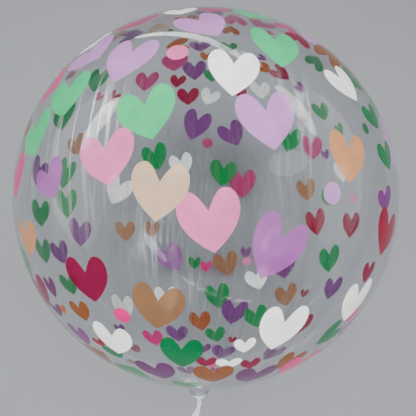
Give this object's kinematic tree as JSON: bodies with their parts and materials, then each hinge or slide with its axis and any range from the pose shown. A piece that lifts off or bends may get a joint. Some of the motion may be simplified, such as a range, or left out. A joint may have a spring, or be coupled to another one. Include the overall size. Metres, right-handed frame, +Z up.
{
  "type": "bubble balloon",
  "caption": "Clear round film balloon printed with small coloured hearts, lying on its side, its neck gathered, twisted and knotted in itself above a short pleated tail.",
  "frame": {"origin": "middle of the flat spot that the balloon lies on", "axes": "+Z up, the neck and tail point along -Y, so +Y runs through the bubble's crown"},
  "size_m": [0.4996, 0.6011, 0.4975],
  "materials": {
    "clear_film": "clear and glossy, printed with hearts in solid ink"
  },
  "bodies": {
    "root": {"balloon": "clear_film"}
  },
  "joints": []
}
